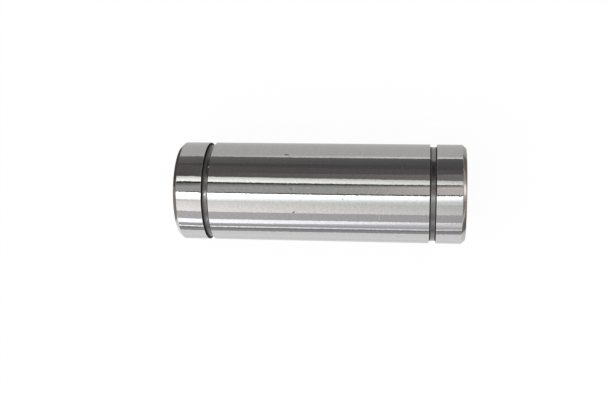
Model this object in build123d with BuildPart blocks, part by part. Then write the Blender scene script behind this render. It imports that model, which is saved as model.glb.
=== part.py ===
from build123d import *
import os
from math import acos, cos, pi, radians, sin

# Long linear ball bearing for a round shaft, with two ball cages in one hardened steel sleeve.
# The shaft runs along X through the origin, which is the middle of the bore. Sizes are in millimetres.
# Right is +X and left is -X. Angles round the shaft are measured from +Y towards +Z.

# Catalogue sizes
shaft_diameter = 10.0
length = 55.0
groove_spacing = 44.0  # over the outer walls of the two retaining grooves
groove_width = 1.3
groove_depth = 0.5
circuits = 4  # ball loops round each cage

# Steel sleeve
sleeve_wall = 1.2  # steel outside the deepest ball channel
end_chamfer_length = 0.75
end_chamfer_height = 0.65
mouth_chamfer = 0.15
groove_corner = 0.1
land_overrun = 0.3  # how far the raceway runs past the straight part of a loop
ramp_length = 0.5  # lead-in at each end of the raceway, where balls come under load
ramp_height = 0.12

# Balls and the loops that they run in
ball_diameter = 2.0
balls_per_turn = 3
turn_ball_gap = 0.04  # between neighbours in a turn, where the balls stand closest
return_lift = 1.26  # how much further out the returning balls run than the loaded ones
load_contact_gap = 0.03
channel_gap = 0.04
track_gap = 0.05
first_loop_angle = 90.0

# Resin cages
cage_shaft_gap = 0.4
cage_sleeve_gap = 0.12
cage_least_wall = 1.0
cage_joint_gap = 0.1
cage_ring_gap = 0.05
cage_chamfer = 0.25

# Spring rings that hold the cages in
ring_thickness = 0.7
ring_groove_depth = 0.4
ring_groove_gap = 0.05
ring_cover = 0.4  # how far the ring stands over the cage's end
ring_opening = 3.0
ring_corner = 0.35

# Rubber end seals, each with a steel washer bonded into its back
seal_setback = 0.2
seal_thickness = 1.6
seal_seat_step = 0.02
seal_rim_width = 0.95
seal_rim_chamfer = 0.15
seal_valley_depth = 0.6
seal_valley_width = 0.4
seal_bead_radius = 0.15
seal_bead_gap = 0.02
lip_setback = 0.15
lip_land = 0.35
lip_tip_height = 0.25
lip_reach = 1.1  # from the shaft out to the root of the lip
washer_thickness = 0.4
washer_width = 1.6

# Radii of the ball loops: a loaded ball touches the shaft, and a returning one clears it
shaft_radius = shaft_diameter / 2
ball_radius = ball_diameter / 2
load_radius = shaft_radius + ball_radius
return_radius = load_radius + return_lift
turn_radius = (ball_diameter + turn_ball_gap) / (2 * sin(pi / (2 * balls_per_turn)))
ball_pitch = pi * turn_radius / balls_per_turn
track_radius = ball_radius + track_gap

# Radii of the sleeve
raceway_radius = load_radius + ball_radius + load_contact_gap
relief_radius = return_radius + ball_radius + channel_gap
outer_radius = relief_radius + sleeve_wall
seat_radius = relief_radius + seal_seat_step
ring_groove_radius = seat_radius + ring_groove_depth

# Places along the shaft, on the right half
half_length = length / 2
seal_front = half_length - seal_setback
seal_back = seal_front - seal_thickness
ring_back = seal_back - ring_thickness
cage_start = cage_joint_gap / 2
cage_end = ring_back - cage_ring_gap
cage_length = cage_end - cage_start
cage_middle = (cage_start + cage_end) / 2
cage_shift = -2 * cage_middle  # from the right cage to the left one
groove_middle = groove_spacing / 2 - groove_width / 2

# The straight part of a loop holds as many balls as the cage has room for
loop_room = cage_length - 2 * (cage_least_wall + turn_radius + track_radius)
balls_per_row = int(loop_room / ball_pitch)
straight_length = balls_per_row * ball_pitch
turn_reach = turn_radius + ball_radius + channel_gap

# A loop lies in one flat plane through its loaded leg and its returning leg
leg_spacing = 2 * turn_radius
leg_angle = acos(
    (load_radius**2 + return_radius**2 - leg_spacing**2) / (2 * load_radius * return_radius)
)


def around(radius, angle, x=0.0):
    """The point at this radius and angle (in radians) round the shaft."""
    return Vector(x, radius * cos(angle), radius * sin(angle))


def loop_plane(number, x):
    """The plane of a loop, centred in the loop: its x runs along the shaft, its y towards the loaded leg."""
    load_angle = radians(first_loop_angle + 360 / circuits * number)
    load_leg = around(load_radius, load_angle, x)
    return_leg = around(return_radius, load_angle + leg_angle, x)
    towards_load = (load_leg - return_leg).normalized()
    return Plane(
        origin=(load_leg + return_leg) * 0.5,
        x_dir=(1, 0, 0),
        z_dir=Vector(1, 0, 0).cross(towards_load),
    )


loop_planes = {
    f"{side}_loop_{number + 1}": loop_plane(number, x)
    for side, x in (("right", cage_middle), ("left", cage_middle + cage_shift))
    for number in range(circuits)
}

# Steel sleeve

with BuildPart() as outer_sleeve:
    with BuildSketch(Plane.YZ.offset(-half_length)):
        Circle(outer_radius)
        Circle(raceway_radius, mode=Mode.SUBTRACT)
    extrude(amount=length)
    end_edges = outer_sleeve.edges().filter_by(GeomType.CIRCLE).group_by(SortBy.RADIUS)[-1]
    for end_edge in (end_edges.sort_by(Axis.X)[0], end_edges.sort_by(Axis.X)[-1]):
        chamfer(
            end_edge,
            length=end_chamfer_length,
            length2=end_chamfer_height,
            reference=outer_sleeve.faces().filter_by(GeomType.CYLINDER).sort_by(SortBy.AREA)[-1],
        )
    # Retaining grooves, with the small corner radius that the turning tool leaves
    with BuildSketch():
        with Locations((groove_middle, outer_radius), (-groove_middle, outer_radius)):
            RectangleRounded(groove_width, 2 * groove_depth, groove_corner)
    revolve(axis=Axis.X, mode=Mode.SUBTRACT)
    # Seats for the seals, with their bead grooves, and the grooves of the spring rings
    seat_length = half_length - ring_back
    ring_middle = ring_back + ring_thickness / 2
    bead_middle = (seal_front + seal_back) / 2
    with BuildSketch():
        for end in (1, -1):
            with Locations((end * (ring_back + seat_length / 2), seat_radius / 2)):
                Rectangle(seat_length, seat_radius)
            with Locations((end * ring_middle, ring_groove_radius / 2)):
                Rectangle(ring_thickness, ring_groove_radius)
            with Locations((end * bead_middle, seat_radius)):
                Circle(seal_bead_radius + seal_bead_gap)
    revolve(axis=Axis.X, mode=Mode.SUBTRACT)
    end_faces = outer_sleeve.faces().sort_by(Axis.X)
    for end_face in (end_faces[0], end_faces[-1]):
        chamfer(end_face.edges().sort_by(SortBy.RADIUS)[0], length=mouth_chamfer)
    # Annular reliefs where the balls turn round, with a ramp up from the raceway on each
    relief_start = straight_length / 2 + land_overrun
    relief_end = straight_length / 2 + turn_reach
    with BuildSketch(mode=Mode.PRIVATE) as relief_pair:
        with BuildLine():
            Polyline(
                (relief_start - ramp_length, 0),
                (relief_start - ramp_length, raceway_radius),
                (relief_start, raceway_radius + ramp_height),
                (relief_start, relief_radius),
                (relief_end, relief_radius),
                (relief_end, 0),
                close=True,
            )
        make_face()
        mirror(about=Plane.YZ)
    with BuildSketch():
        with Locations((cage_middle, 0), (cage_middle + cage_shift, 0)):
            add(relief_pair.sketch)
    revolve(axis=Axis.X, mode=Mode.SUBTRACT)
    # Broached channels for the returning balls, right through the sleeve
    with BuildSketch(Plane.YZ.offset(-half_length)):
        for number in range(circuits):
            channel_angle = radians(first_loop_angle + 360 / circuits * number) + leg_angle
            channel = around(return_radius, channel_angle)
            with Locations((channel.Y, channel.Z)):
                Circle(ball_radius + channel_gap)
    extrude(amount=length, mode=Mode.SUBTRACT)
outer_sleeve.part.label = "outer_sleeve"

# Ball track: the room in a cage for one loop of balls, round at the bottom and open outwards

track_depth = ball_diameter  # past the outside of the cage


def track_section(plane, legs):
    """The track's section on a plane across the shaft: a half-round bottom with straight walls."""
    with BuildSketch(plane) as section:
        with Locations(*[(0, leg * turn_radius) for leg in legs]):
            Circle(track_radius)
            Rectangle(track_depth, 2 * track_radius, align=(Align.MIN, Align.CENTER))
    return section.sketch


def across(plane, x):
    """The plane across the shaft at x along a loop, with its own x pointing out of the bearing."""
    return Plane(
        origin=plane.origin + plane.x_dir * x,
        x_dir=plane.z_dir,
        z_dir=plane.z_dir.cross(plane.y_dir),
    )


def turn_axis(plane, end):
    """The axis that the balls go round at one end of a loop, pointing out of the bearing."""
    return Axis(plane.origin + plane.x_dir * (end * straight_length / 2), plane.z_dir)


def ball_track(plane):
    with BuildPart() as track:
        extrude(
            track_section(across(plane, straight_length / 2), (1, -1)),
            amount=straight_length,
        )
        for end in (1, -1):
            revolve(
                track_section(across(plane, end * straight_length / 2), (1,)),
                axis=turn_axis(plane, end),
                revolution_arc=-end * 180,
            )
    return track.part


# Cages: one resin moulding, used twice, with a ball track for each loop

cage_inner_radius = shaft_radius + cage_shaft_gap
cage_outer_radius = raceway_radius - cage_sleeve_gap


def ball_cage(side, start):
    with BuildPart() as cage:
        with BuildSketch(Plane.YZ.offset(start)):
            Circle(cage_outer_radius)
            Circle(cage_inner_radius, mode=Mode.SUBTRACT)
        extrude(amount=cage_length)
        chamfer(cage.edges().filter_by(GeomType.CIRCLE), length=cage_chamfer)
        for name, plane in loop_planes.items():
            if name.startswith(side):
                add(ball_track(plane), mode=Mode.SUBTRACT)
    cage.part.label = f"{side}_cage"
    return cage


right_cage = ball_cage("right", cage_start)
left_cage = ball_cage("left", cage_start + cage_shift)

# Balls, in the four groups of each loop that move together


def ball_group(name, centres):
    with BuildPart() as balls:
        with Locations(*centres):
            Sphere(ball_radius)
    balls.part.label = name
    return balls


def row_centres(plane, side):
    """Centres of the balls in one straight leg: side 1 is the loaded leg and -1 the returning one."""
    return [
        plane.from_local_coords((ball_pitch * (i + 0.5) - straight_length / 2, side * turn_radius))
        for i in range(balls_per_row)
    ]


def turn_centres(plane, end):
    """Centres of the balls in one turn: end 1 is the right-hand one."""
    angles = [pi * (i + 0.5) / balls_per_turn for i in range(balls_per_turn)]
    return [
        plane.from_local_coords(
            (end * (straight_length / 2 + turn_radius * sin(a)), turn_radius * cos(a))
        )
        for a in angles
    ]


ball_groups = []
for name, plane in loop_planes.items():
    ball_groups += [
        ball_group(f"{name}_loaded_balls", row_centres(plane, 1)),
        ball_group(f"{name}_returning_balls", row_centres(plane, -1)),
        ball_group(f"{name}_right_turn_balls", turn_centres(plane, 1)),
        ball_group(f"{name}_left_turn_balls", turn_centres(plane, -1)),
    ]

# Spring rings: flat and open, sprung into the grooves inside the sleeve

ring_inner_radius = cage_outer_radius - ring_cover
ring_outer_radius = ring_groove_radius - ring_groove_gap


def spring_ring(side, start):
    with BuildPart() as ring:
        with BuildSketch(Plane.YZ.offset(start)):
            Circle(ring_outer_radius)
            Circle(ring_inner_radius, mode=Mode.SUBTRACT)
            with Locations((0, -ring_outer_radius)):
                Rectangle(ring_opening, 2 * ring_outer_radius, mode=Mode.SUBTRACT)
        extrude(amount=ring_thickness)
        tip_corners = ring.edges().filter_by(Axis.X).sort_by(Axis.Z)[:4]
        fillet(tip_corners, radius=ring_corner)
    ring.part.label = f"{side}_spring_ring"
    return ring


right_spring_ring = spring_ring("right", ring_back)
left_spring_ring = spring_ring("left", -seal_back)

# Seals: a rubber ring with a wiping lip, and the steel washer in its back

washer_front = seal_back + washer_thickness
washer_outer_radius = shaft_radius + lip_reach + washer_width
washer_inner_radius = shaft_radius + lip_reach
valley_bottom = seal_front - seal_valley_depth
valley_outer_radius = washer_inner_radius + seal_valley_width
lip_front = seal_front - lip_setback


def seal_rubber(side):
    with BuildPart() as seal:
        with BuildSketch():
            with BuildLine():
                Polyline(
                    (seal_back, seat_radius),
                    (seal_front - seal_rim_chamfer, seat_radius),
                    (seal_front, seat_radius - seal_rim_chamfer),
                    (seal_front, seat_radius - seal_rim_width),
                    (valley_bottom, valley_outer_radius),
                    (valley_bottom, washer_inner_radius),
                    (lip_front, shaft_radius + lip_tip_height),
                    (lip_front, shaft_radius),
                    (lip_front - lip_land, shaft_radius),
                    (washer_front, washer_inner_radius),
                    (washer_front, washer_outer_radius),
                    (seal_back, washer_outer_radius),
                    close=True,
                )
            make_face()
            with Locations(((seal_front + seal_back) / 2, seat_radius)):
                Circle(seal_bead_radius)
        revolve(axis=Axis.X)
        if side == "left":
            mirror(about=Plane.YZ, mode=Mode.REPLACE)
    seal.part.label = f"{side}_seal"
    return seal


def seal_washer(side, start):
    with BuildPart() as washer:
        with BuildSketch(Plane.YZ.offset(start)):
            Circle(washer_outer_radius)
            Circle(washer_inner_radius, mode=Mode.SUBTRACT)
        extrude(amount=washer_thickness)
    washer.part.label = f"{side}_seal_washer"
    return washer


seals = [seal_rubber("right"), seal_rubber("left")]
seal_washers = [seal_washer("right", seal_back), seal_washer("left", -washer_front)]

# One file for each piece, named by its label

os.makedirs("parts", exist_ok=True)
spring_rings = [right_spring_ring, left_spring_ring]
for piece in [outer_sleeve, right_cage, left_cage, *spring_rings, *seals, *seal_washers, *ball_groups]:
    export_step(piece.part, f"parts/{piece.part.label}.step")
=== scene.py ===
import math
from functools import reduce
from typing import NamedTuple

import bmesh
import bpy
from bpy.props import FloatProperty, FloatVectorProperty, IntProperty, PointerProperty
from mathutils import Matrix, Vector


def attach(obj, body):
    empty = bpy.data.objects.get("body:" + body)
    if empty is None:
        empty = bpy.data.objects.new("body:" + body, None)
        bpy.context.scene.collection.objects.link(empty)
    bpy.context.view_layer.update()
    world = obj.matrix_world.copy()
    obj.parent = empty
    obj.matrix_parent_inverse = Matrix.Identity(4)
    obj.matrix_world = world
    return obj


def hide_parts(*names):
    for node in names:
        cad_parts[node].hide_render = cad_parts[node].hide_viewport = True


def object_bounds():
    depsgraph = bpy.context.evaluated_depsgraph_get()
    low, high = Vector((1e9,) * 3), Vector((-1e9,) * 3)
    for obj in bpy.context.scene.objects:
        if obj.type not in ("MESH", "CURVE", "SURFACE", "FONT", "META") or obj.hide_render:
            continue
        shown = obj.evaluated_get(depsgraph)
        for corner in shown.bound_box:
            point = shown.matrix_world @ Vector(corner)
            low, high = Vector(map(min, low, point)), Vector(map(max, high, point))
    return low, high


bl_info = {
    "name": "Linear bearing",
    "version": (1, 0, 0),
    "blender": (4, 5, 0),
    "location": "3D View > Sidebar > Bearing",
    "description": "Looks of a long linear ball bearing, built round its packed frame",
    "category": "Object",
}

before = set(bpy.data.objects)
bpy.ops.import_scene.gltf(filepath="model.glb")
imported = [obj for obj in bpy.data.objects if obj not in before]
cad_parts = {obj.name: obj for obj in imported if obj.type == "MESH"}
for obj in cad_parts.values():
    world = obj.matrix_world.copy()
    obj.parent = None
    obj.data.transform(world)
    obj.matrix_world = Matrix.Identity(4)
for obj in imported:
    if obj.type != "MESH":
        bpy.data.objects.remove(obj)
CAD_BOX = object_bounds()

HOUSING = "housing"
SIDES = {"right": 1, "left": -1}
MM = 0.001
WHOLE_TURN = 2 * math.pi

# Points closer than this count as one
WELD = 0.002 * MM
# Width of the plane that a new piece starts from
DOT = 0.1 * MM
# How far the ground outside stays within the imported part's box
SLACK = 0.0001 * MM

# Shading is smooth except where faces meet at more than so many degrees
SLEEVE_CREASE = 14
SEAL_CREASE = 32
# Faces across the rounding of a ground edge, of a groove's corner and of a seal's edge
EDGE_STEPS = 3
CORNER_STEPS = 4
SEAL_STEPS = 4

# Inside of the sleeve, in metres, as in the part
SEAT_RADIUS = 8.32 * MM
RING_GROOVE_RADIUS = 8.72 * MM
RELIEF_RADIUS = 8.30 * MM
RACEWAY_RADIUS = 7.03 * MM
RAMP_RADIUS = 7.15 * MM
CHANNEL_CIRCLE = 7.26 * MM
CHANNEL_RADIUS = 1.03 * MM
CHANNEL_ANGLE = math.radians(124.193)
CIRCUITS = 4
CAGE_MIDDLE = 12.5 * MM
RAMP_START = 7.277 * MM
RELIEF_START = 7.777 * MM
RELIEF_END = 10.557 * MM
RING_BACK = 25.0 * MM
SEAL_BACK = 25.7 * MM
MOUTH_CHAMFER = 0.15 * MM

# Cutters of the channels: how many sides they have, and how much longer than the sleeve they are
CUTTER_SIDES = 48
CUTTER_REACH = 1.2

# The bead round a seal and its groove in the seat: their middle, their radii, and degrees from point to point
BEAD_MIDDLE = 26.5 * MM
BEAD_RADIUS = 0.15 * MM
BEAD_GROOVE_RADIUS = 0.17 * MM
BEAD_STEP = 30


def bead(radius, turns):
    """Points of (x, radius) round the bead's middle, at these angles in degrees."""
    angles = [math.radians(turn) for turn in turns]
    return [
        (BEAD_MIDDLE + radius * math.cos(angle), SEAT_RADIUS + radius * math.sin(angle)) for angle in angles
    ]


# A right-hand seal, in metres: places along the shaft, then radii
SEAL_WEB = 26.1 * MM
SEAL_VALLEY = 26.7 * MM
LIP_BACK = 26.8 * MM
LIP_FRONT = 27.15 * MM
SEAL_FACE = 27.3 * MM
SEAL_CHAMFER = 0.15 * MM
LIP_BORE = 5.0 * MM
LIP_RADIUS = 5.25 * MM
VALLEY_INNER = 6.1 * MM
VALLEY_MIDDLE = 6.35 * MM
VALLEY_OUTER = 6.5 * MM
RIM_RADIUS = 7.37 * MM
POCKET_RADIUS = 7.7 * MM

# Its section as points of (x, radius), and how wide its edges are rounded
RIM_EDGES = ((SEAL_FACE - SEAL_CHAMFER, SEAT_RADIUS), (SEAL_FACE, SEAT_RADIUS - SEAL_CHAMFER))
VALLEY_EDGES = ((SEAL_FACE, RIM_RADIUS), (SEAL_VALLEY, VALLEY_OUTER), (SEAL_VALLEY, VALLEY_INNER))
LIP_EDGE = (LIP_FRONT, LIP_RADIUS)
SEAL_OUTLINE = (
    (SEAL_BACK, SEAT_RADIUS),
    *bead(BEAD_RADIUS, range(180, -1, -BEAD_STEP)),
    *RIM_EDGES,
    *VALLEY_EDGES,
    LIP_EDGE,
    (LIP_FRONT, LIP_BORE),
    (LIP_BACK, LIP_BORE),
    (SEAL_WEB, VALLEY_INNER),
    (SEAL_WEB, POCKET_RADIUS),
    (SEAL_BACK, POCKET_RADIUS),
)
SEAL_ROUNDS = ((0.12 * MM, VALLEY_EDGES), (0.05 * MM, (*RIM_EDGES, LIP_EDGE)))

# How often the lines and patches of a surface come, a millimetre along x, y and z
GRIND_LINES = (5, 0.2, 0.2)
FINE_GRIND_LINES = (46, 1.2, 1.2)
PIT_SPREAD = (1, 1.6, 1.6)
RESIN_FLOW = (0.25, 1.1, 1.1)
HAIR_SCRATCHES = (2.0, 17.0, 17.0)
ROLLING_LINES = (2.0, 26.0, 0.5)
# The same for the floor's fibres, a metre
PAPER_FIBRES = 900.0
# Moulding rings on the rubber, in radians a millimetre outwards
MOULD_RINGS = 22
# Radii in millimetres: where the sleeve's inside begins, the middle of a spring ring, and how far from it the
# wear begins and is full
INSIDE_EDGE = 8.4
SPRING_MIDDLE = 7.59
SPRING_WEAR = (0.98, 1.06)


class Mark(NamedTuple):
    """A small mark on the outside of the sleeve.

    Its place along the shaft, half its length and half its width are in millimetres. Its angle is in degrees
    from the top towards -Y, and its lean away from the shaft's direction in radians.
    """

    along: float
    angle: float
    length: float
    width: float
    lean: float = 0.0


# Small dark marks on the ground outside
NICKS = (
    Mark(-6.2, -46.5, 0.68, 0.20, 0.3),
    Mark(-4.95, -3.2, 0.15, 0.42, -0.5),
    Mark(-4.4, 24.7, 0.17, 0.50, 0.7),
    Mark(-1.6, -2.2, 0.16, 0.20),
    Mark(4.8, 8.2, 0.15, 0.12),
)
# Scratches on the ground outside, painted pale as glints
GLINTING_SCRATCHES = (Mark(-4.3, -4.4, 0.10, 0.40, 0.7), Mark(11.5, 29.5, 0.12, 0.85))
# Bright flecks on the floor of the left groove, painted as highlights
GROOVE_HIGHLIGHTS = (Mark(-20.95, -29.0, 0.36, 0.15, 0.3), Mark(-21.4, 5.5, 0.16, 0.30, 0.4))

# Camera, above and a little to the right. It looks down, tilted to the left and rolled a little, in degrees.
# The lens and the sensor's width are in millimetres.
CAMERA_PLACE = (0.01941, -0.00253, 0.18654)
CAMERA_TILT = 6.984
CAMERA_ROLL = 0.971
CAMERA_LENS = 56.9
CAMERA_SENSOR = 36
CAMERA_NEAR = 10 * MM

LAMP_PLACE = (-0.25, -0.3, 0.6)
LAMP_SIZE = 0.5
FLOOR_CORNER_STEPS = 12

# Where along the shaft the strip cards' edges are given: the middle place, how far off the other two are, and
# how many times as far the edges go on bending
CARD_MIDDLE = -0.036
CARD_SPREAD = 0.071
CARD_REACH = 1.3
# Straight pieces in such an edge, and degrees that one face of a card covers
CARD_STEPS = 30
CARD_FACE = 3

# Where along the shaft a card's left tint gives way to its right one, slowly or quickly
TURNOVER = (-0.16, 0.08)
QUICK_TURNOVER = (-0.03, 0.05)
# Tints that several cards share
WHITE = (1, 1, 1)
WARM = (1.14, 1.0, 1.01)
CREAM = (1.0, 1.0, 0.97)
ROSE = (1.0, 0.97, 0.95)
SAND = (1.0, 0.95, 0.9)
PEACH = (1.0, 0.92, 0.85)


class StripCard(NamedTuple):
    """A long curved card over the bearing, parallel to the shaft, that the polished steel reflects.

    Angles are in degrees: 0 is the -Y horizon and 90 the top. The low edge runs through three of them, at
    the left, the middle and the right. The levels are the glow at the low and the high edge, and the
    turnover says where along the shaft the left tint gives way to the right one.
    """

    name: str
    low_edge: tuple
    width: float
    levels: tuple
    left_tint: tuple
    right_tint: tuple
    turnover: tuple = TURNOVER


# The room that the steel reflects, from the -Y side over the top to the +Y side. Each card hides the high
# edge of the one before it.
STRIP_CARDS = (
    StripCard("near_wall", (-1.5, 0, 1.5), 14, (0.44, 0.75), (1.03, 1.0, 1.06), (1.4, 1.35, 1.42)),
    StripCard("low_window", (8, 10.5, 16.5), 16, (1.95, 1.85), (0.99, 1.0, 1.04), (0.64, 0.655, 0.68)),
    StripCard("window_sill", (19.5, 20, 20.5), 24, (0.705, 0.705), (1.03, 1.0, 1.02), (0.83, 0.81, 0.82)),
    StripCard("pale_ceiling", (39.5, 39.5, 40.5), 24, (1.38, 1.2), (1.05, 1.02, 0.98), (0.65, 0.65, 0.637)),
    StripCard("soft_window", (66.5, 64.5, 69), 21, (1.22, 3.8), (0.96, 1.0, 0.99), (0.63, 0.66, 0.65)),
    StripCard("window_frame", (84, 83, 84), 10, (0.12, 0.12), WHITE, (1.1, 1.1, 1.1)),
    StripCard("grey_ceiling", (86.5, 86, 87), 20, (0.52, 0.52), CREAM, (1.5, 1.39, 1.34), QUICK_TURNOVER),
    StripCard("ceiling_shade", (98.5, 98, 100.5), 11, (0.52, 0.16), CREAM, (1.97, 1.7, 1.65), QUICK_TURNOVER),
    StripCard("window_bar", (106.5, 105.5, 106.5), 8, (0.015, 0.015), WHITE, (11, 11, 11)),
    StripCard("high_window", (110, 109, 109.5), 16, (1.85, 0.95), (0.99, 0.99, 0.92), (0.66, 0.67, 0.63)),
    StripCard("wall_foot", (122, 120.5, 119.5), 20, (0.117, 0.117), WARM, (2.3, 2.15, 2.15)),
    StripCard("dark_wall", (132.5, 131.5, 133.5), 30, (0.128, 0.128), WARM, (1.08, 1.02, 1.05)),
    StripCard("wall_rail", (150.5, 146.5, 144.5), 20, (0.098, 0.098), WARM, (1.13, 1.07, 1.09)),
    StripCard("wall_top", (156.5, 157, 155), 24, (0.135, 0.19), (1.22, 1.17, 1.17), (0.86, 0.84, 0.86)),
    StripCard("skirting", (177, 176, 177), 6, (0.60, 0.60), WHITE, (1.7, 1.7, 1.7)),
)

# Cards on the floor, in metres: how far each layer lies over the one below, and where their sides are
CARD_LIFT = 0.05 * MM
MAT_GAP = 0.5 * MM
CONTACT_SIDE = -0.020
GLARE_SIDES = (-0.335, -0.120)
BROWN_ALONG = (0.045, 0.40)
BROWN_ACROSS = (-0.060, 0.120)
TABLE_NEAR = ((-0.12, -0.039), (0.12, -0.067))
TABLE_MIDDLE = ((-0.12, -0.072), (0.12, -0.120))
TABLE_FAR = ((0.12, -0.310), (0.031, -0.205), (-0.014, -0.180), (-0.050, -0.168), (-0.12, -0.158))

# Boards beside the left end: their gap to the bearing and their top, then each one's name, sides and level
LEFT_BOARD_GAP = 6.5 * MM
LEFT_BOARD_TOP = 9 * MM
LEFT_BOARDS = (
    ("left_back", (0.001, 0.0165), 0.12),
    ("left_front", (0.001, -0.0092), 0.44),
    ("left_lamp", (-0.0092, -0.0165), 1.35),
)
# The window and the lamp at the right: how far each stands before what is behind it, and their sides
RIGHT_STEP = 0.01
RIGHT_HEIGHTS = (0.01, 0.1)
RIGHT_WINDOW_SIDES = (-0.06, 0.15)
RIGHT_LAMP_SIDES = (-0.002, 0.0925)


# Modelling helpers

def select_only(piece):
    """Selects one piece and makes it active."""
    bpy.ops.object.select_all(action="DESELECT")
    piece.select_set(True)
    bpy.context.view_layer.objects.active = piece


def begin(name, place):
    """A new piece that is one point, in edit mode, with nothing else selected."""
    bpy.ops.object.select_all(action="DESELECT")
    bpy.ops.mesh.primitive_plane_add(size=DOT, location=place)
    piece = bpy.context.active_object
    piece.name = name
    piece.data.name = name
    bpy.ops.object.mode_set(mode="EDIT")
    bpy.ops.mesh.select_mode(type="VERT")
    bpy.ops.mesh.select_all(action="SELECT")
    bpy.ops.mesh.merge(type="CENTER")
    return piece


def settle(piece):
    """Leaves edit mode and puts the piece's origin at the frame's, with its place in its mesh."""
    bpy.ops.object.mode_set(mode="OBJECT")
    select_only(piece)
    bpy.ops.object.transform_apply(location=True, rotation=True, scale=True)


def draw_line(points):
    """Draws on from the selected point, one edge to each next point."""
    for here, there in zip(points, points[1:]):
        step = Vector(there) - Vector(here)
        bpy.ops.mesh.extrude_vertices_move(TRANSFORM_OT_translate={"value": step})


def close_line(points):
    """Draws a closed line from the selected point through the others, and selects it."""
    draw_line(points + points[:1])
    bpy.ops.mesh.select_all(action="SELECT")
    bpy.ops.mesh.remove_doubles(threshold=WELD)


def spun(name, outline, segments):
    """A closed ring round the shaft: the outline of (x, radius) points, spun one turn."""
    points = [(x, 0, radius) for x, radius in outline]
    piece = begin(name, points[0])
    close_line(points)
    bpy.ops.mesh.spin(steps=segments, angle=WHOLE_TURN, center=(0, 0, 0), axis=(1, 0, 0))
    bpy.ops.mesh.select_all(action="SELECT")
    bpy.ops.mesh.remove_doubles(threshold=WELD)
    bpy.ops.mesh.normals_make_consistent(inside=False)
    settle(piece)
    return piece


def round_rings(piece, corners, width, segments):
    """Rounds the ring edges of a spun piece that run through these (x, radius) corners."""
    select_only(piece)
    bpy.ops.object.mode_set(mode="EDIT")
    bpy.ops.mesh.select_mode(type="EDGE")
    bpy.ops.mesh.select_all(action="DESELECT")
    mesh = bmesh.from_edit_mesh(piece.data)
    for edge in mesh.edges:
        spots = [(point.co.x, math.hypot(point.co.y, point.co.z)) for point in edge.verts]
        edge.select = any(all(math.dist(spot, corner) < WELD for spot in spots) for corner in corners)
    mesh.select_flush_mode()
    bmesh.update_edit_mesh(piece.data)
    bpy.ops.mesh.bevel(offset=width, segments=segments, affect="EDGES")
    bpy.ops.object.mode_set(mode="OBJECT")


def shade(piece, crease):
    """Smooth shading, with sharp edges where faces meet at more than this angle in degrees."""
    select_only(piece)
    bpy.ops.object.shade_smooth_by_angle(angle=math.radians(crease))


def both_ends(outline):
    """The outline of a whole ring from the points of its right half."""
    return outline + [(-x, radius) for x, radius in reversed(outline)]


def groove_walls(sizes):
    """How far from the middle the inner and the outer wall of a retaining groove are."""
    outer = sizes.groove_spacing / 2
    return outer - sizes.groove_width, outer


def dress(piece, finish):
    """Gives a piece one finish all over."""
    if piece.material_slots:
        for slot in piece.material_slots:
            slot.material = finish
    else:
        piece.data.materials.append(finish)


# Shader helpers

def feed(tree, value, slot):
    """Links a wire to a node's input, or sets the input to a value."""
    if isinstance(value, Wire):
        tree.links.new(value.socket, slot)
    else:
        slot.default_value = value


class Wire:
    """A socket's output that can be used in sums."""

    def __init__(self, tree, socket):
        self.tree = tree
        self.socket = socket

    def maths(self, operation, *values):
        """The output of a Math node with these values on its inputs."""
        node = self.tree.nodes.new("ShaderNodeMath")
        node.operation = operation
        for slot, value in zip(node.inputs, values):
            feed(self.tree, value, slot)
        return Wire(self.tree, node.outputs[0])

    def most(self, other):
        """The larger of the two."""
        return self.maths("MAXIMUM", self, other)

    def __add__(self, other):
        return self.maths("ADD", self, other)

    def __sub__(self, other):
        return self.maths("SUBTRACT", self, other)

    def __rsub__(self, other):
        return self.maths("SUBTRACT", other, self)

    def __mul__(self, other):
        return self.maths("MULTIPLY", self, other)

    def __pow__(self, other):
        return self.maths("POWER", self, other)

    def __abs__(self):
        return self.maths("ABSOLUTE", self)

    __radd__ = __add__
    __rmul__ = __mul__


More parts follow.
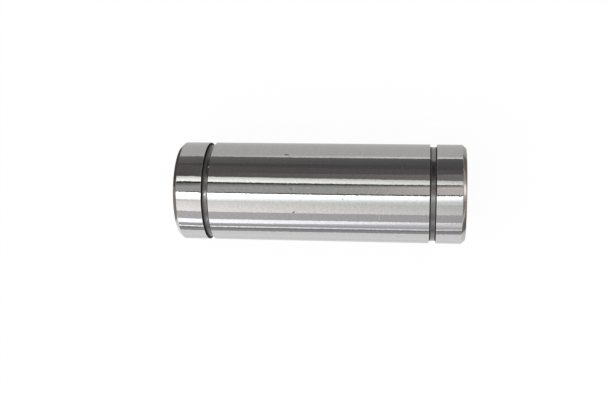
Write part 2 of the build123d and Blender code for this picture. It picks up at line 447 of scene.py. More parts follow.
class Finish:
    """A material or world that is being put together."""

    def __init__(self, owner):
        self.owner = owner
        owner.use_nodes = True
        self.tree = owner.node_tree
        self.tree.nodes.clear()

    def add(self, kind, settings=None, sockets=None, out=0):
        """Adds a node: its settings first, then the values or links of its sockets. Gives one output."""
        node = self.tree.nodes.new(kind)
        for key, value in (settings or {}).items():
            setattr(node, key, value)
        for key, value in (sockets or {}).items():
            feed(self.tree, value, next(s for s in node.inputs if key in (s.identifier, s.name)))
        for place, socket in enumerate(node.outputs):
            if out in (place, socket.name, socket.identifier):
                return Wire(self.tree, socket)

    def metres(self):
        """Object coordinates."""
        return self.add("ShaderNodeTexCoord", out="Object")

    def millimetres(self):
        """Object coordinates in millimetres."""
        return self.scaled(self.metres(), 1 / MM)

    def scaled(self, vector, factor):
        """The vector or colour times one factor."""
        return self.add("ShaderNodeVectorMath", {"operation": "SCALE"}, {"Vector": vector, "Scale": factor})

    def stretched(self, vector, factors):
        """The vector times a factor of its own in each direction."""
        return self.add("ShaderNodeMapping", None, {"Vector": vector, "Scale": factors})

    def split(self, vector):
        """The x, y and z of a vector."""
        node = self.add("ShaderNodeSeparateXYZ", None, {"Vector": vector}).socket.node
        return [Wire(self.tree, node.outputs[axis]) for axis in "XYZ"]

    def from_shaft(self, vector):
        """How far a place is from the shaft's line."""
        _, y, z = self.split(vector)
        return (y * y + z * z) ** 0.5

    def noise(self, vector, scale=1.0, detail=2.0):
        """Noise from 0 to 1, mostly near 0.5."""
        return self.add("ShaderNodeTexNoise", None, {"Vector": vector, "Scale": scale, "Detail": detail})

    def rise(self, value, low, high):
        """0 below low and 1 above high, smooth between them. Falls instead if high is less than low."""
        sockets = {"Value": value, "From Min": min(low, high), "From Max": max(low, high)}
        step = self.add("ShaderNodeMapRange", {"interpolation_type": "SMOOTHSTEP"}, sockets)
        return 1 - step if high < low else step

    def mix(self, mask, first, second):
        """One colour where the mask is 0 and the other where it is 1."""
        sockets = {"Factor_Float": mask, "A_Color": colour(first), "B_Color": colour(second)}
        return self.add("ShaderNodeMix", {"data_type": "RGBA"}, sockets, out="Result_Color")

    def bump(self, height, distance):
        """A normal from heights of which 1 is this many millimetres."""
        return self.add("ShaderNodeBump", None, {"Height": height, "Distance": distance * MM})

    def seen(self):
        """1 for the rays by which the camera sees something, directly, in metal or through glass."""
        outputs = self.add("ShaderNodeLightPath").socket.node.outputs
        rays = ("Is Camera Ray", "Is Glossy Ray", "Is Transmission Ray")
        return reduce(Wire.most, [Wire(self.tree, outputs[name]) for name in rays])

    def surface(self, sockets):
        """Ends the material in a Principled shader."""
        return self.end(self.add("ShaderNodeBsdfPrincipled", None, sockets))

    def end(self, shader):
        """Ends the material or world in this shader and gives it back."""
        world = isinstance(self.owner, bpy.types.World)
        kind = "ShaderNodeOutputWorld" if world else "ShaderNodeOutputMaterial"
        self.add(kind, None, {"Surface": shader})
        return self.owner


def colour(value):
    """A colour for a socket: red, green and blue with an alpha, or the wire as it is."""
    return value if isinstance(value, Wire) else (*tuple(value)[:3], 1.0)


def shaded(tone, factor, lift=0.0):
    """A tone made darker or lighter by a factor, then lifted."""
    return [min(1, part * factor + lift) for part in tone]


def tinted(tone, *factors):
    """A tone with factors of their own for red, green and blue."""
    return [part * factor for part, factor in zip(tone, factors)]


# Finishes

class Steel(Finish):
    """Ground hardened steel, darker where it is only turned: the grooves, the chamfers and the inside."""

    def __init__(self, sizes):
        super().__init__(bpy.data.materials.new("ground_steel_finish"))
        self.sizes = sizes
        self.place = self.millimetres()
        self.x, self.y, self.z = self.split(self.place)
        self.grind = self.noise(self.stretched(self.place, GRIND_LINES), detail=4.0)
        self.clouds = self.noise(self.place, 0.22)
        self.frost = self.noise(self.place, 2.4)
        self.grain = self.noise(self.place, 5.0)
        self.find_zones()
        # self.scale holds the painted shade in the grooves' corners
        self.scale = self.groove_painted_shade()
        self.marks = self.handling_marks()

    def find_zones(self):
        """Masks of the steel that isn't ground, and the gap from a groove's walls to the places in it."""
        sizes = self.sizes
        radius = self.from_shaft(self.place)
        reach = abs(self.x)
        outside = sizes.outer_diameter / 2 / MM
        chamfer_start = (sizes.length / 2 - sizes.chamfer_length) / MM
        inner, outer = (wall / MM for wall in groove_walls(sizes))
        self.below = self.rise(radius, outside - 0.03, outside - 0.07)
        self.in_groove = self.below * self.rise(reach, outer + 0.3, outer + 0.1)
        self.on_chamfer = self.below * self.rise(reach, chamfer_start - 0.1, chamfer_start)
        self.hardened = self.in_groove.most(self.rise(radius, INSIDE_EDGE + 0.1, INSIDE_EDGE))
        self.wall_gap = (outer - inner) / 2 - abs(reach - (outer + inner) / 2)
        self.left_gap = self.x + outer

    def groove_painted_shade(self):
        """Painted shade in the grooves: blackest against the walls and widest at the left groove's outer
        wall.
        """
        corners = self.rise(self.wall_gap, 0.42, 0.1) * 0.6
        walls = self.rise(self.wall_gap, 0.25, 0.17)
        left_wall = self.rise(self.left_gap, 0.85, 0.15) * 0.6
        return corners.most(walls).most(left_wall) * self.in_groove

    def handling_marks(self):
        """Small dark marks from handling: scattered pits and the nicks."""
        sockets = {"Vector": self.stretched(self.place, PIT_SPREAD), "Scale": 0.62}
        pits = self.add("ShaderNodeTexVoronoi", {"feature": "F1"}, sockets)
        kept = self.noise(self.place, 0.9, 1.0)
        pitted = self.rise(pits, 0.055, 0.02) * self.rise(kept, 0.5, 0.62)
        return pitted.most(self.marked(NICKS)) * (1 - self.below)

    def marked(self, marks):
        """1 in the middle of each of these marks and 0 between them."""
        return reduce(Wire.most, [self.nick(mark) for mark in marks])

    def nick(self, mark):
        """1 in the middle of one mark."""
        turn = math.radians(mark.angle)
        along = self.x - mark.along
        across = self.y * -math.cos(turn) - self.z * math.sin(turn)
        above = self.z * math.cos(turn) - self.y * math.sin(turn)
        first = (along * math.cos(mark.lean) + across * math.sin(mark.lean)) * (1 / mark.length)
        second = (across * math.cos(mark.lean) - along * math.sin(mark.lean)) * (1 / mark.width)
        return self.rise((first * first + second * second) ** 0.5, 1.0, 0.35) * self.rise(above, 0, 1)

    def ground_colour(self):
        """The ground outside: cloudy, with fine grinding lines and grain, and a painted highlight beside the
        grooves.
        """
        tone = self.sizes.steel_colour
        # Painted highlight: a lighter copy of the steel along the grooves' edges
        rims = self.rise(abs(self.wall_gap + 0.05), 0.09, 0.02) * (1 - self.below)
        steel = self.mix(self.clouds, tone, shaded(tone, 0.95))
        steel = self.mix(self.rise(self.grind, 0.35, 0.75) * 0.16, steel, shaded(tone, 0.75))
        steel = self.mix(self.rise(self.grain, 0.3, 0.7) * 0.4, steel, shaded(tone, 0.64))
        steel = self.mix(self.rise(self.frost, 0.35, 0.65) * 0.12, steel, shaded(tone, 0.7))
        return self.mix(rims * 0.5, steel, shaded(tone, 1.25))

    def base(self):
        """The colour everywhere: what is only turned is stained in patches, and painted darker towards the
        left as shade.
        """
        sizes = self.sizes
        # Random stains, plus painted shade that darkens the turned steel towards the left
        stain_and_left_shade = self.rise(self.clouds + 0.35 * self.grind, 0.45, 0.85) + self.rise(self.x, 10, -10) * 0.45
        dark = self.mix(stain_and_left_shade, sizes.hardened_colour, shaded(sizes.hardened_colour, 0.6))
        edge = self.mix(stain_and_left_shade, sizes.chamfer_colour, shaded(sizes.chamfer_colour, 0.75))
        base = self.mix(self.on_chamfer, self.ground_colour(), edge)
        base = self.mix(self.hardened, base, dark)
        # Painted shade: near black in the grooves' corners
        base = self.mix(self.scale, base, sizes.groove_shade_colour)
        # Painted highlights on the left groove's floor
        base = self.mix(self.marked(GROOVE_HIGHLIGHTS) * self.in_groove, base, sizes.groove_highlight_colour)
        # Scratches painted lighter as glints
        scratch_glints = self.marked(GLINTING_SCRATCHES) * (1 - self.below)
        base = self.mix(scratch_glints * 0.6, base, shaded(sizes.steel_colour, 1.35))
        return self.mix(self.marks * 0.8, base, sizes.mark_colour)

    def rough(self):
        """Roughness: least on the ground outside, more where it is turned, marked or under the painted groove
        shade.
        """
        ground = 0.02 + 0.025 * self.grind + 0.015 * self.clouds
        turned = self.on_chamfer * 0.12 + self.hardened * (0.12 + 0.12 * self.grind)
        return ground + turned + self.marks * 0.3 + self.scale * 0.4

    def height(self):
        """Height of the grinding lines, deeper where the steel is only turned, and of the marks."""
        fine_grind = self.noise(self.stretched(self.place, FINE_GRIND_LINES))
        lines = (self.grind * 0.35 + fine_grind * 0.25) * (1 + 4 * self.hardened + 2 * self.on_chamfer)
        return lines + self.frost * 1.8 + self.grain * 1.3 - self.marks * 9


def steel_finish(sizes):
    """The sleeve's steel. It is a metal except under the painted shade in the grooves."""
    steel = Steel(sizes)
    return steel.surface(
        {
            "Base Color": steel.base(),
            "Metallic": 1 - steel.scale * 0.9,
            "Roughness": steel.rough(),
            "Specular IOR Level": 0.15,
            "Normal": steel.bump(steel.height(), 0.0016),
        }
    )


def rubber_finish(tone):
    """Moulded black nitrile rubber: dusty in patches, with painted shade in the valley, painted edge
    highlights, a wiped shiny lip.
    """
    finish = Finish(bpy.data.materials.new("seal_rubber_finish"))
    place = finish.millimetres()
    radius = finish.from_shaft(place)
    speckle = finish.noise(place, 9.0, 3.0)
    blotches = finish.noise(place, 0.9, 3.0)
    turns = radius * MOULD_RINGS
    from_rim = abs(radius - RIM_RADIUS / MM)
    from_lip = abs(radius - LIP_RADIUS / MM)
    # Painted shade in the valley, which is also made rougher
    valley_shade = finish.rise(abs(radius - VALLEY_MIDDLE / MM), 0.62, 0.22)
    lip = finish.rise(radius, LIP_RADIUS / MM + 0.25, LIP_RADIUS / MM + 0.05)
    # Painted highlights, with some wear, on the edges of the rim and the lip
    rims = finish.rise(from_rim, 0.12, 0.03) + finish.rise(from_lip, 0.09, 0.02)
    dust = finish.rise(blotches, 0.45, 0.75) * 0.5 + finish.rise(speckle, 0.6, 0.8) * 0.25
    base = finish.mix(dust, tone, shaded(tone, 2.2, 0.008))
    base = finish.mix(rims * (0.35 + 0.4 * speckle), base, shaded(tone, 3, 0.03))
    base = finish.mix(valley_shade * 0.85, base, shaded(tone, 0.25))
    height = speckle * 0.7 + turns.maths("SINE", turns) * 0.08 + blotches * 0.5
    return finish.surface(
        {
            "Base Color": base,
            "Roughness": 0.46 + 0.2 * blotches + 0.08 * speckle + 0.15 * valley_shade - 0.22 * lip,
            "Specular IOR Level": 0.36,
            "Normal": finish.bump(height, 0.006),
        }
    )


def resin_finish(tone):
    """Moulded cage resin: off-white, faintly yellow and cloudy, darker with oil near the ball tracks."""
    finish = Finish(bpy.data.materials.new("cage_resin_finish"))
    place = finish.millimetres()
    flow = finish.noise(finish.stretched(place, RESIN_FLOW), detail=3.0)
    speckle = finish.noise(place, 14.0)
    oil = finish.rise(flow, 0.4, 0.8) * finish.rise(finish.from_shaft(place), 5.2, 6.6)
    base = finish.mix(flow, tone, tinted(tone, 0.9, 0.88, 0.82))
    return finish.surface(
        {
            "Base Color": finish.mix(oil * 0.45, base, tinted(tone, 0.62, 0.56, 0.44)),
            "Roughness": 0.34 + 0.16 * speckle - 0.12 * oil,
            "Normal": finish.bump(speckle * 0.4 + flow, 0.004),
        }
    )


def ball_finish(tone):
    """Lapped bearing balls: almost a mirror, with a thin uneven film of oil and a few hair scratches."""
    finish = Finish(bpy.data.materials.new("ball_steel_finish"))
    place = finish.millimetres()
    film = finish.noise(place, 0.8)
    hairs = finish.noise(finish.stretched(place, HAIR_SCRATCHES), detail=1.0)
    scratches = finish.rise(abs(hairs - 0.5), 0.012, 0.004)
    return finish.surface(
        {
            "Base Color": finish.mix(film, tone, tinted(tone, 0.93, 0.9, 0.84)),
            "Metallic": 1.0,
            "Roughness": 0.035 + 0.05 * film + 0.12 * scratches,
            "Normal": finish.bump(scratches * -1.0, 0.0012),
        }
    )


def spring_finish(tone):
    """Blued spring steel: nearly black, browner in places, with stamped edges worn lighter."""
    finish = Finish(bpy.data.materials.new("spring_steel_finish"))
    place = finish.millimetres()
    patches = finish.noise(place, 0.7, 3.0)
    speckle = finish.noise(place, 8.0)
    from_middle = abs(finish.from_shaft(place) - SPRING_MIDDLE)
    worn = finish.rise(from_middle, *SPRING_WEAR) * finish.rise(speckle, 0.35, 0.65)
    base = finish.mix(finish.rise(patches, 0.4, 0.7), tone, tinted(tone, 1.5, 1.1, 0.8))
    return finish.surface(
        {
            "Base Color": finish.mix(worn * 0.7, base, (0.42, 0.41, 0.40)),
            "Metallic": 0.9,
            "Roughness": 0.3 + 0.2 * speckle - 0.08 * worn,
            "Normal": finish.bump(speckle, 0.003),
        }
    )


def sheet_finish(tone):
    """Rolled steel sheet: fine rolling lines one way, and clouds."""
    finish = Finish(bpy.data.materials.new("washer_steel_finish"))
    place = finish.millimetres()
    rolled = finish.noise(finish.stretched(place, ROLLING_LINES))
    clouds = finish.noise(place, 0.6)
    return finish.surface(
        {
            "Base Color": finish.mix(rolled * 0.6 + clouds * 0.4, tone, shaded(tone, 0.7)),
            "Metallic": 1.0,
            "Roughness": 0.26 + 0.18 * rolled,
            "Normal": finish.bump(rolled, 0.002),
        }
    )


# Sizes and colours

class SleeveSettings(bpy.types.PropertyGroup):
    outer_diameter: FloatProperty(
        name="Outside diameter", description="Ground diameter of the sleeve", default=0.019, unit="LENGTH"
    )
    length: FloatProperty(
        name="Length", description="Length of the sleeve over its end faces", default=0.055, unit="LENGTH"
    )
    groove_spacing: FloatProperty(
        name="Groove spacing",
        description="Distance over the outer walls of the two retaining grooves",
        default=0.044,
        unit="LENGTH",
    )
    groove_width: FloatProperty(
        name="Groove width", description="Width of a retaining groove", default=0.0013, unit="LENGTH"
    )
    groove_depth: FloatProperty(
        name="Groove depth", description="Depth of a retaining groove", default=0.0005, unit="LENGTH"
    )
    chamfer_length: FloatProperty(
        name="Chamfer length", description="Length of an end chamfer", default=0.00075, unit="LENGTH"
    )
    chamfer_height: FloatProperty(
        name="Chamfer height", description="Height of an end chamfer", default=0.00065, unit="LENGTH"
    )
    edge_round: FloatProperty(
        name="Edge rounding",
        description="Width of the rounding on ground edges",
        default=0.00004,
        unit="LENGTH",
    )
    groove_corner: FloatProperty(
        name="Groove corner",
        description="Width of the rounding in a groove's corners",
        default=0.0001,
        unit="LENGTH",
    )
    segments: IntProperty(name="Segments", description="Faces round the sleeve", default=256, min=32)
    steel_colour: FloatVectorProperty(
        name="Ground steel",
        description="Colour of the ground outside",
        default=(0.615, 0.615, 0.615),
        subtype="COLOR",
    )
    hardened_colour: FloatVectorProperty(
        name="Hardened steel",
        description="Colour of the steel that is only turned and hardened",
        default=(0.30, 0.29, 0.28),
        subtype="COLOR",
    )
    chamfer_colour: FloatVectorProperty(
        name="Turned steel",
        description="Colour of the end chamfers",
        default=(0.50, 0.475, 0.45),
        subtype="COLOR",
    )
    # The colour of the painted shade in the grooves' corners
    groove_shade_colour: FloatVectorProperty(
        name="Scale",
        description="Colour in the corners of the grooves",
        default=(0.009, 0.009, 0.010),
        subtype="COLOR",
    )
    # The colour of the painted highlights in the left groove
    groove_highlight_colour: FloatVectorProperty(
        name="Flecks",
        description="Colour of bright flecks in a groove",
        default=(0.62, 0.60, 0.56),
        subtype="COLOR",
    )
    mark_colour: FloatVectorProperty(
        name="Marks", description="Colour in a nick or pit", default=(0.075, 0.07, 0.07), subtype="COLOR"
    )


class InsideSettings(bpy.types.PropertyGroup):
    seal_segments: IntProperty(name="Seal segments", description="Faces round a seal", default=160, min=32)
    rubber_colour: FloatVectorProperty(
        name="Rubber", description="Colour of the seals", default=(0.018, 0.018, 0.019), subtype="COLOR"
    )
    resin_colour: FloatVectorProperty(
        name="Cage resin", description="Colour of the ball cages", default=(0.77, 0.74, 0.66), subtype="COLOR"
    )
    ball_colour: FloatVectorProperty(
        name="Balls", description="Colour of the balls", default=(0.68, 0.68, 0.69), subtype="COLOR"
    )
    spring_colour: FloatVectorProperty(
        name="Spring steel",
        description="Colour of the spring rings",
        default=(0.085, 0.09, 0.11),
        subtype="COLOR",
    )
    sheet_colour: FloatVectorProperty(
        name="Sheet steel",
        description="Colour of the seal washers",
        default=(0.50, 0.50, 0.49),
        subtype="COLOR",
    )


class StageSettings(bpy.types.PropertyGroup):
    floor_colour: FloatVectorProperty(
        name="Floor", description="Colour of the floor", default=(0.97, 0.97, 0.97), subtype="COLOR"
    )
    floor_width: FloatProperty(
        name="Floor width", description="Width of the floor", default=6.0, unit="LENGTH"
    )
    shadow_share: FloatProperty(
        name="Shadow",
        description="How much of the object's shadow the white floor shows",
        default=0.05,
        subtype="FACTOR",
    )
    tunnel_radius: FloatProperty(
        name="Card radius",
        description="How far the strip cards stand from the shaft's line",
        default=0.35,
        unit="LENGTH",
    )
    tunnel_length: FloatProperty(
        name="Card length",
        description="Length of the strip cards along the shaft",
        default=0.9,
        unit="LENGTH",
    )
    sky_level: FloatProperty(
        name="Sky",
        description="How bright the plain surroundings light the object",
        default=0.7,
        subtype="FACTOR",
    )
    lamp_power: FloatProperty(
        name="Lamp", description="Power of the soft lamp", default=2.6, unit="POWER"
    )


# Stage

def card_light(name, levels, tints, turnover=TURNOVER, low=0, high=180, lean=0.0):
    """A card's glow: a level each at its low and its high angle, and a tint each at its left and its right.

    Both angles lean by so many degrees a metre along the shaft.
    """
    finish = Finish(bpy.data.materials.new(name))
    x, y, z = finish.split(finish.metres())
    angle = z.maths("ARCTAN2", z, y * -1) - (x - CARD_MIDDLE) * math.radians(lean)
    share = finish.rise(angle, math.radians(low), math.radians(high))
    tint = finish.mix(finish.rise(x, *turnover), *tints)
    glow = levels[0] + (levels[1] - levels[0]) * share
    return finish.end(finish.add("ShaderNodeEmission", None, {"Color": finish.scaled(tint, glow)}))


def only_reflected(card):
    """The card shows in polished surfaces, and neither lights nor hides anything."""
    card.visible_camera = False
    card.visible_diffuse = False
    card.visible_shadow = False
    card.visible_transmission = False
    card.visible_volume_scatter = False


def strip_edge(strip, radius, length):
    """The points of a strip card's low edge, and how many degrees a metre it leans."""
    left, middle, right = strip.low_edge
    bow = (left + right) / 2 - middle
    points = []
    for step in range(CARD_STEPS + 1):
        x = length * (step / CARD_STEPS - 0.5)
        place = max(-CARD_REACH, min(CARD_REACH, (x - CARD_MIDDLE) / CARD_SPREAD))
        angle = math.radians(middle + (right - left) / 2 * place + bow * place * place)
        points.append((x, -radius * math.cos(angle), radius * math.sin(angle)))
    return points, (right - left) / 2 / CARD_SPREAD


def hang_strip(strip, radius, length):
    """Hangs a strip card at this distance from the shaft's line."""
    points, lean = strip_edge(strip, radius, length)
    card = begin(strip.name, points[0])
    draw_line(points)
    bpy.ops.mesh.select_all(action="SELECT")
    bpy.ops.mesh.spin(
        steps=max(1, round(strip.width / CARD_FACE)),
        angle=math.radians(strip.width),
        center=(0, 0, 0),
        axis=(1, 0, 0),
    )
    settle(card)
    low = strip.low_edge[1]
    tints = (strip.left_tint, strip.right_tint)
    glow = card_light(strip.name + "_glow", strip.levels, tints, strip.turnover, low, low + strip.width, lean)
    dress(card, glow)
    only_reflected(card)


def board_card(name, corners, level, *tints):
    """A flat card through its corners, with one tint or with one at the left and one at the right."""
    card = begin(name, corners[0])
    close_line(corners)
    bpy.ops.mesh.edge_face_add()
    settle(card)
    dress(card, card_light(name + "_glow", (level, level), (tints[0], tints[-1])))
    only_reflected(card)


def upright_card(name, x, sides, heights, level, tint):
    """An upright card across the shaft's line at x, from one y and one height to the others."""
    near, far = sides
    low, high = heights
    board_card(name, [(x, near, low), (x, far, low), (x, far, high), (x, near, high)], level, tint)


def lie_card(name, corners, level, layer, *tints):
    """A flat card on the floor, through corners of (x, y). A card in a higher layer hides one in a lower."""
    height = CAD_BOX[0].z + layer * CARD_LIFT
    board_card(name, [(x, y, height) for x, y in corners], level, *tints)


def floor_card(name, along, across, level, layer, *tints):
    """A rectangular card on the floor, from one x to another and from one y to another."""
    corners = [(along[0], across[0]), (along[1], across[0]), (along[1], across[1]), (along[0], across[1])]
    lie_card(name, corners, level, layer, *tints)


class BEARING_OT_stage(bpy.types.Operator):
    """Set up the floor, the soft light, the reflected cards and the camera"""

    bl_idname = "bearing.stage"
    bl_label = "Stage"

    def execute(self, context):
        stage = context.scene.bearing_stage
        self.lay_floor(stage)
        self.light(context, stage)
        for order, strip in enumerate(STRIP_CARDS):
            hang_strip(strip, stage.tunnel_radius - order * MM, stage.tunnel_length)
        self.lay_cards(stage.tunnel_length / 2)
        self.stand_cards(stage.tunnel_length / 2, stage.tunnel_radius)
        self.place_camera(context)
        context.scene.view_settings.view_transform = "Standard"
        return {"FINISHED"}

    def lay_floor(self, stage):
        """A wide sheet of white paper under the bearing."""
        bpy.ops.object.select_all(action="DESELECT")
        bpy.ops.mesh.primitive_plane_add(size=stage.floor_width, location=(0, 0, CAD_BOX[0].z))
        floor = bpy.context.active_object
        floor.name = "floor"
        bpy.ops.object.mode_set(mode="EDIT")
        bpy.ops.mesh.select_mode(type="VERT")
        bpy.ops.mesh.select_all(action="SELECT")
        corner = stage.floor_width / 4
        bpy.ops.mesh.bevel(offset=corner, segments=FLOOR_CORNER_STEPS, affect="VERTICES")
        settle(floor)
        dress(floor, self.floor_finish(stage))

    def floor_finish(self, stage):
        """Paper that is white to the camera but for some shadow, and clear from below."""
        finish = Finish(bpy.data.materials.new("floor_paper"))
        fibres = finish.noise(finish.metres(), PAPER_FIBRES)
        paper = finish.mix(fibres * 0.3, stage.floor_colour, shaded(stage.floor_colour, 0.97))
        lit = finish.add("ShaderNodeBsdfDiffuse", None, {"Color": paper})
        white = finish.add("ShaderNodeEmission", None, {"Color": colour(WHITE), "Strength": 1.0})
        shown = finish.seen() * (1 - stage.shadow_share)
        top = finish.add("ShaderNodeMixShader", None, {"Fac": shown, "Shader": lit, "Shader_001": white})
        clear = finish.add("ShaderNodeBsdfTransparent")
        below = finish.add("ShaderNodeNewGeometry", out="Backfacing")
        sheet = {"Fac": below, "Shader": top, "Shader_001": clear}
        return finish.end(finish.add("ShaderNodeMixShader", None, sheet))

    def light(self, context, stage):
        """Plain surroundings, white where they are seen, and a soft lamp that isn't reflected."""
        world = bpy.data.worlds.new("plain_surroundings")
        context.scene.world = world
        finish = Finish(world)
        level = stage.sky_level + (1 - stage.sky_level) * finish.seen()
        grey = finish.add("ShaderNodeCombineColor", None, {"Red": level, "Green": level, "Blue": level})
        finish.end(finish.add("ShaderNodeBackground", None, {"Color": grey}))
        bpy.ops.object.select_all(action="DESELECT")
        bpy.ops.object.light_add(type="AREA", location=LAMP_PLACE)
        lamp = bpy.context.active_object
        lamp.name = "soft_lamp"
        lamp.rotation_euler = (-lamp.location).to_track_quat("-Z", "Y").to_euler()
        lamp.data.size = LAMP_SIZE
        lamp.data.energy = stage.lamp_power
        lamp.visible_glossy = False
        lamp.visible_camera = False

    def lay_cards(self, half):
        """The cards on the floor. The long ones reach as far along the shaft as the strip cards."""
        along = (-half, half)
        mat = (CAD_BOX[1].y + MAT_GAP, half)
        floor_card("grey_mat", along, mat, 0.63, 1, (1.01, 1.0, 0.98))
        floor_card("contact_shade", along, (CONTACT_SIDE, CAD_BOX[0].y), 0.86, 2, WHITE)
        floor_card("floor_glare", along, GLARE_SIDES, 2.05, 2, WHITE, (0.48, 0.48, 0.48))
        lie_card("table_edge", TABLE_NEAR + TABLE_FAR, 0.42, 3, WHITE)
        lie_card("table_shade", TABLE_MIDDLE + TABLE_FAR, 0.31, 4, WHITE)
        floor_card("right_brown", BROWN_ALONG, BROWN_ACROSS, 0.25, 4, (1.0, 0.93, 0.86))

    def stand_cards(self, half, radius):
        """The upright cards beyond the ends."""
        beside = CAD_BOX[0].x - LEFT_BOARD_GAP
        for name, sides, level in LEFT_BOARDS:
            upright_card(name, beside, sides, (CAD_BOX[0].z, LEFT_BOARD_TOP), level, ROSE)
        for name, side in SIDES.items():
            upright_card(name + "_end_wall", side * half, (-radius, radius), (0, radius), 0.40, SAND)
        upright_card("right_window", half - RIGHT_STEP, RIGHT_WINDOW_SIDES, RIGHT_HEIGHTS, 0.85, PEACH)
        upright_card("right_lamp", half - 2 * RIGHT_STEP, RIGHT_LAMP_SIDES, RIGHT_HEIGHTS, 2.3, PEACH)

    def place_camera(self, context):
        """The photograph's camera."""
        bpy.ops.object.camera_add(location=(0, 0, 0))
        camera = bpy.context.active_object
        camera.name = "camera"
        tilt = Matrix.Rotation(math.radians(CAMERA_TILT), 4, "Y")
        roll = Matrix.Rotation(math.radians(CAMERA_ROLL), 4, "Z")
        camera.matrix_world = Matrix.Translation(CAMERA_PLACE) @ tilt @ roll
        camera.data.sensor_width = CAMERA_SENSOR
        camera.data.lens = CAMERA_LENS
        camera.data.clip_start = CAMERA_NEAR
        context.scene.camera = camera


# Pieces

class BEARING_OT_sleeve(bpy.types.Operator):
    """Model the ground steel sleeve in place of its plain solid"""

    bl_idname = "bearing.sleeve"
    bl_label = "Steel sleeve"

    def execute(self, context):
        sizes = context.scene.bearing_sleeve
        sleeve = spun("ground_sleeve", both_ends(self.outside(sizes) + self.inside()), sizes.segments)
        self.broach(sleeve, sizes)
        self.round_edges(sleeve, sizes)
        shade(sleeve, SLEEVE_CREASE)
        dress(sleeve, steel_finish(sizes))
        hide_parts("outer_sleeve")
        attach(sleeve, HOUSING)
        return {"FINISHED"}

    def outside(self, sizes):
        """The right half of the sleeve's section, from the middle of its outside to the seal's seat."""
        radius = sizes.outer_diameter / 2 - SLACK
        floor = radius - sizes.groove_depth
        end = sizes.length / 2
        inner, outer = groove_walls(sizes)
        return [
            (0, radius),
            (inner, radius),
            (inner, floor),
            (outer, floor),
            (outer, radius),
            (end - sizes.chamfer_length, radius),
            (end, radius - sizes.chamfer_height),
            (end, SEAT_RADIUS + MOUTH_CHAMFER),
            (end - MOUTH_CHAMFER, SEAT_RADIUS),
        ]

    def inside(self):
        """The right half of the sleeve's section, from the seal's seat to the relief nearest the middle."""
        far_relief = [
            (CAGE_MIDDLE + RELIEF_END, RACEWAY_RADIUS),
            (CAGE_MIDDLE + RELIEF_END, RELIEF_RADIUS),
            (CAGE_MIDDLE + RELIEF_START, RELIEF_RADIUS),
            (CAGE_MIDDLE + RELIEF_START, RAMP_RADIUS),
            (CAGE_MIDDLE + RAMP_START, RACEWAY_RADIUS),
        ]
        near_relief = [(2 * CAGE_MIDDLE - x, radius) for x, radius in reversed(far_relief)]
        return [
            *bead(BEAD_GROOVE_RADIUS, range(0, 181, BEAD_STEP)),
            (SEAL_BACK, SEAT_RADIUS),
            (SEAL_BACK, RING_GROOVE_RADIUS),
            (RING_BACK, RING_GROOVE_RADIUS),
            (RING_BACK, RACEWAY_RADIUS),
            *far_relief,
            *near_relief,
        ]

    def broach(self, sleeve, sizes):
        """Cuts the channels of the returning balls right through the raceway."""
        cutters = []
        bpy.ops.object.select_all(action="DESELECT")
        for number in range(CIRCUITS):
            angle = CHANNEL_ANGLE + WHOLE_TURN * number / CIRCUITS
            bpy.ops.mesh.primitive_cylinder_add(
                vertices=CUTTER_SIDES,
                radius=CHANNEL_RADIUS,
                depth=sizes.length * CUTTER_REACH,
                location=(0, CHANNEL_CIRCLE * math.cos(angle), CHANNEL_CIRCLE * math.sin(angle)),
                rotation=(0, math.pi / 2, 0),
            )
            cutters.append(bpy.context.active_object)
        for cutter in cutters:
            cutter.select_set(True)
        bpy.ops.object.join()
        broach = bpy.context.active_object
        select_only(sleeve)
        cut = sleeve.modifiers.new("channels", "BOOLEAN")
        cut.operation = "DIFFERENCE"
        cut.solver = "EXACT"
        cut.object = broach
        bpy.ops.object.modifier_apply(modifier=cut.name)
        select_only(broach)
        bpy.ops.object.delete()

    def round_edges(self, sleeve, sizes):
        """Breaks the ground edges, and rounds the corners of the grooves' floors."""
        radius = sizes.outer_diameter / 2 - SLACK
        end = sizes.length / 2
        rims, floors, chamfers = [], [], []
        for side in SIDES.values():
            for wall in groove_walls(sizes):
                rims.append((side * wall, radius))
                floors.append((side * wall, radius - sizes.groove_depth))
            chamfers += [
                (side * (end - sizes.chamfer_length), radius),
                (side * end, radius - sizes.chamfer_height),
                (side * end, SEAT_RADIUS + MOUTH_CHAMFER),
            ]
        round_rings(sleeve, rims, sizes.edge_round, EDGE_STEPS)
        round_rings(sleeve, floors, sizes.groove_corner, CORNER_STEPS)
        round_rings(sleeve, chamfers, sizes.edge_round, EDGE_STEPS)


class BEARING_OT_seals(bpy.types.Operator):
    """Model the rubber end seals in place of their plain solids"""

    bl_idname = "bearing.seals"
    bl_label = "End seals"

    def execute(self, context):
        settings = context.scene.bearing_inside
        finish = rubber_finish(settings.rubber_colour)
        for name, side in SIDES.items():
            outline = [(side * x, radius) for x, radius in SEAL_OUTLINE]
            seal = spun(name + "_seal_rubber", outline, settings.seal_segments)
            for width, corners in SEAL_ROUNDS:
                round_rings(seal, [(side * x, radius) for x, radius in corners], width, SEAL_STEPS)
            shade(seal, SEAL_CREASE)
            dress(seal, finish)
            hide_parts(name + "_seal")
            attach(seal, HOUSING)
        return {"FINISHED"}


class BEARING_OT_cages(bpy.types.Operator):
    """Give the two ball cages their moulded resin"""

    bl_idname = "bearing.cages"
    bl_label = "Ball cages"

    def execute(self, context):
        finish = resin_finish(context.scene.bearing_inside.resin_colour)
        for name in SIDES:
            dress(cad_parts[name + "_cage"], finish)
        return {"FINISHED"}


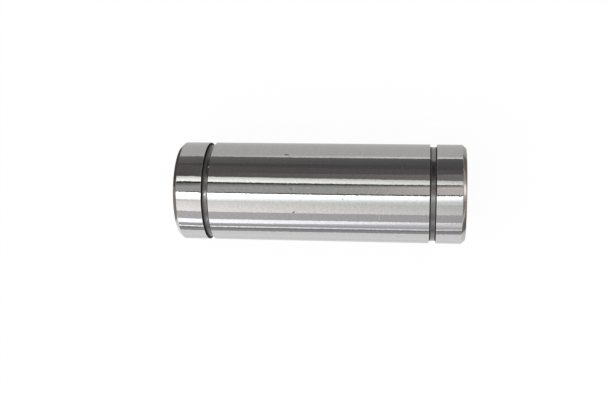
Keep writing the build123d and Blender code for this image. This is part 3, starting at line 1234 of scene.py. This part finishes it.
class BEARING_OT_balls(bpy.types.Operator):
    """Give the balls of every loop their polished steel"""

    bl_idname = "bearing.balls"
    bl_label = "Balls"

    def execute(self, context):
        finish = ball_finish(context.scene.bearing_inside.ball_colour)
        for name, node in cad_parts.items():
            if name.endswith("_balls"):
                dress(node, finish)
        return {"FINISHED"}


class BEARING_OT_rings(bpy.types.Operator):
    """Give the spring rings and the seal washers their steels"""

    bl_idname = "bearing.rings"
    bl_label = "Spring rings and washers"

    def execute(self, context):
        settings = context.scene.bearing_inside
        spring = spring_finish(settings.spring_colour)
        sheet = sheet_finish(settings.sheet_colour)
        for name in SIDES:
            dress(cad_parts[name + "_spring_ring"], spring)
            dress(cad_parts[name + "_seal_washer"], sheet)
        return {"FINISHED"}


class BEARING_PT_panel(bpy.types.Panel):
    """Lists the steps that build the bearing's looks"""

    bl_idname = "BEARING_PT_panel"
    bl_label = "Linear bearing"
    bl_space_type = "VIEW_3D"
    bl_region_type = "UI"
    bl_category = "Bearing"

    def draw(self, context):
        for operator in OPERATORS:
            self.layout.operator(operator.bl_idname)


SETTINGS = {
    "bearing_sleeve": SleeveSettings,
    "bearing_inside": InsideSettings,
    "bearing_stage": StageSettings,
}
OPERATORS = (
    BEARING_OT_sleeve,
    BEARING_OT_seals,
    BEARING_OT_cages,
    BEARING_OT_balls,
    BEARING_OT_rings,
    BEARING_OT_stage,
)


def register():
    for cls in (*SETTINGS.values(), *OPERATORS, BEARING_PT_panel):
        bpy.utils.register_class(cls)
    for name, settings in SETTINGS.items():
        setattr(bpy.types.Scene, name, PointerProperty(type=settings))


def unregister():
    for name in SETTINGS:
        delattr(bpy.types.Scene, name)
    for cls in (BEARING_PT_panel, *reversed(OPERATORS), *SETTINGS.values()):
        bpy.utils.unregister_class(cls)


def main():
    register()
    bpy.ops.bearing.sleeve()
    bpy.ops.bearing.seals()
    bpy.ops.bearing.cages()
    bpy.ops.bearing.balls()
    bpy.ops.bearing.rings()
    bpy.ops.bearing.stage()


if __name__ == "__main__":
    main()
